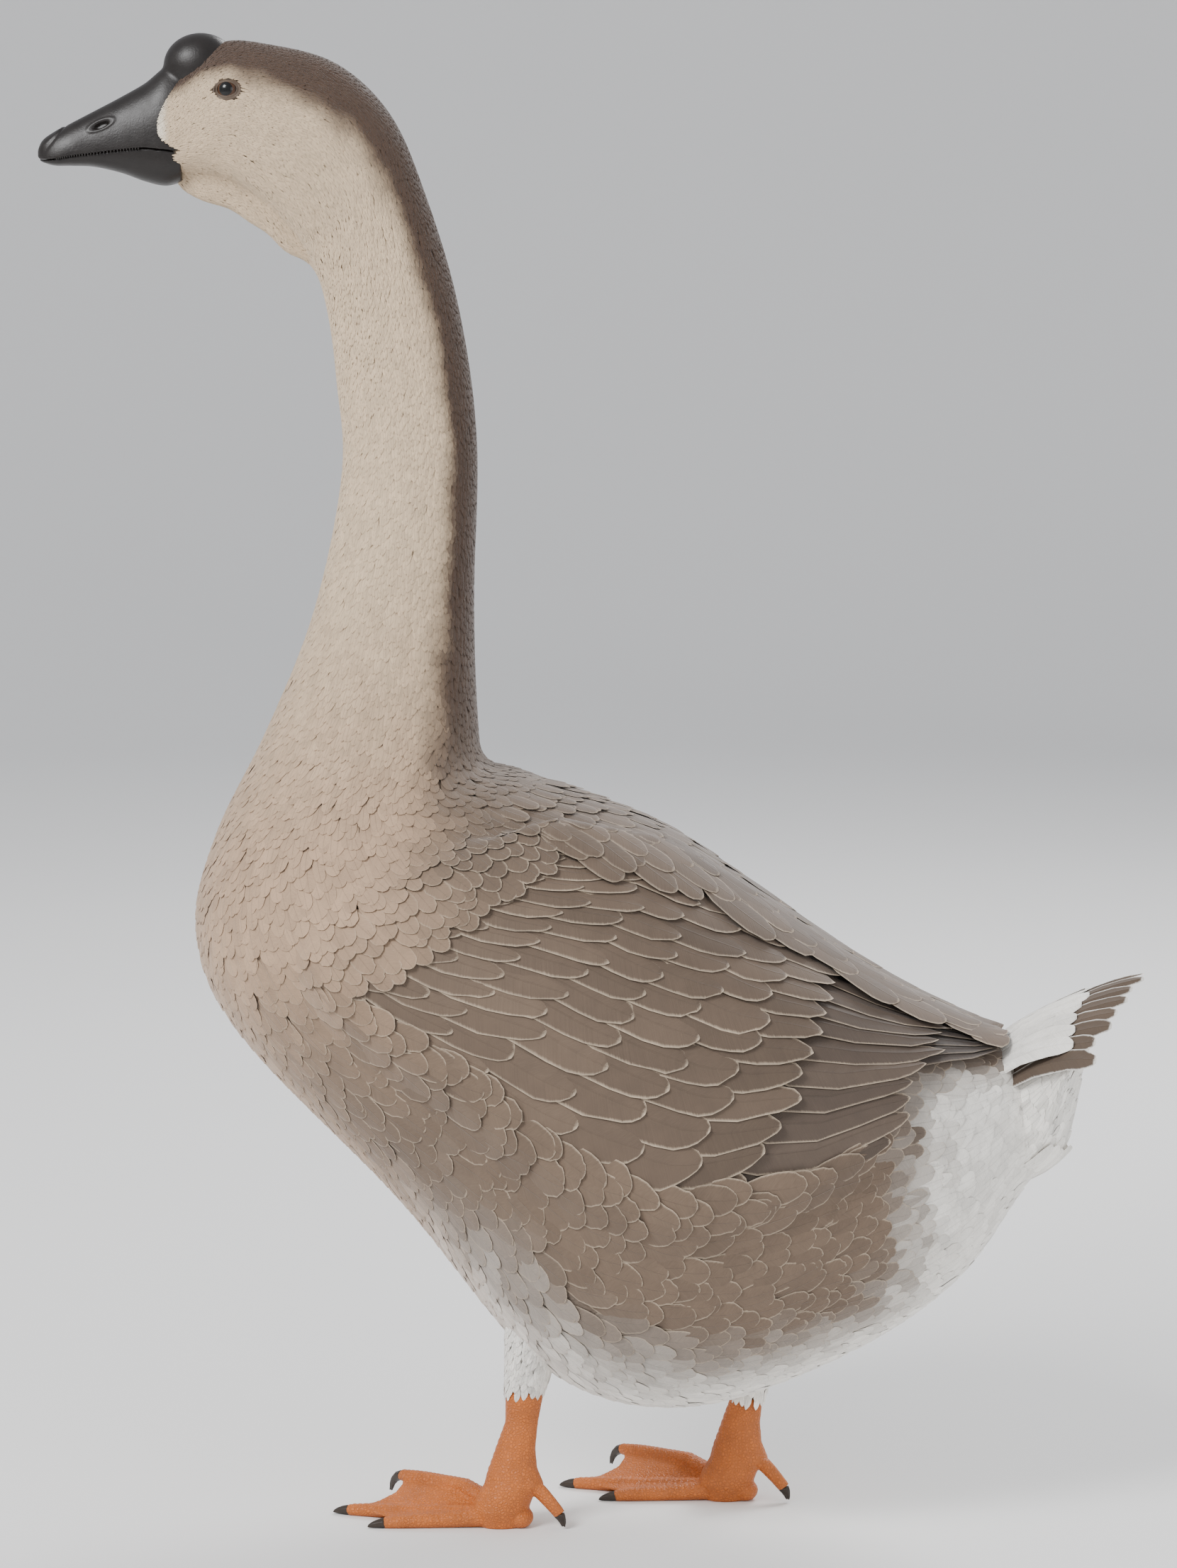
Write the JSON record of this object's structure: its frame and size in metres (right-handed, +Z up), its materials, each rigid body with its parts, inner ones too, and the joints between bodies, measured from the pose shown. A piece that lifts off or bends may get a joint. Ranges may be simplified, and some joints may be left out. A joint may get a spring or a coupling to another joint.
{
  "type": "domestic goose",
  "caption": "Life-size standing goose of the heavy African type, with knobbed bill, dewlap, upright neck, folded wings, cocked tail and webbed feet in a short stride.",
  "frame": {"origin": "on the floor, under the middle of the bounding box", "axes": "+Z is up; the goose faces -X; its left side is at -Y"},
  "size_m": [0.6578, 0.2766, 0.8899],
  "materials": {
    "plumage_pale": "soft small feathers",
    "plumage_brown": "firm overlapping feathers",
    "plumage_white": "firm and soft feathers",
    "horn_black": "satin",
    "dewlap_skin": "fine short feathers on a fold of skin",
    "leg_orange": "scaly, satin",
    "claw_horn": "satin",
    "eye_brown": "wet gloss"
  },
  "bodies": {
    "root": {"head": "plumage_pale", "knob": "horn_black", "bill_upper": "horn_black", "bill_lower": "horn_black", "eye_left": "eye_brown", "eye_right": "eye_brown", "dewlap": "dewlap_skin", "neck_upper": "plumage_pale", "neck_lower": "plumage_pale", "torso": "plumage_pale", "tail": "plumage_white", "wing_left": "plumage_brown", "wing_right": "plumage_brown", "thigh_left": "plumage_white", "shank_left": "leg_orange", "foot_left": "leg_orange", "claw_left_outer": "claw_horn", "claw_left_middle": "claw_horn", "claw_left_inner": "claw_horn", "claw_left_hind": "claw_horn", "thigh_right": "plumage_white", "shank_right": "leg_orange", "foot_right": "leg_orange", "claw_right_outer": "claw_horn", "claw_right_middle": "claw_horn", "claw_right_inner": "claw_horn", "claw_right_hind": "claw_horn"}
  },
  "joints": []
}
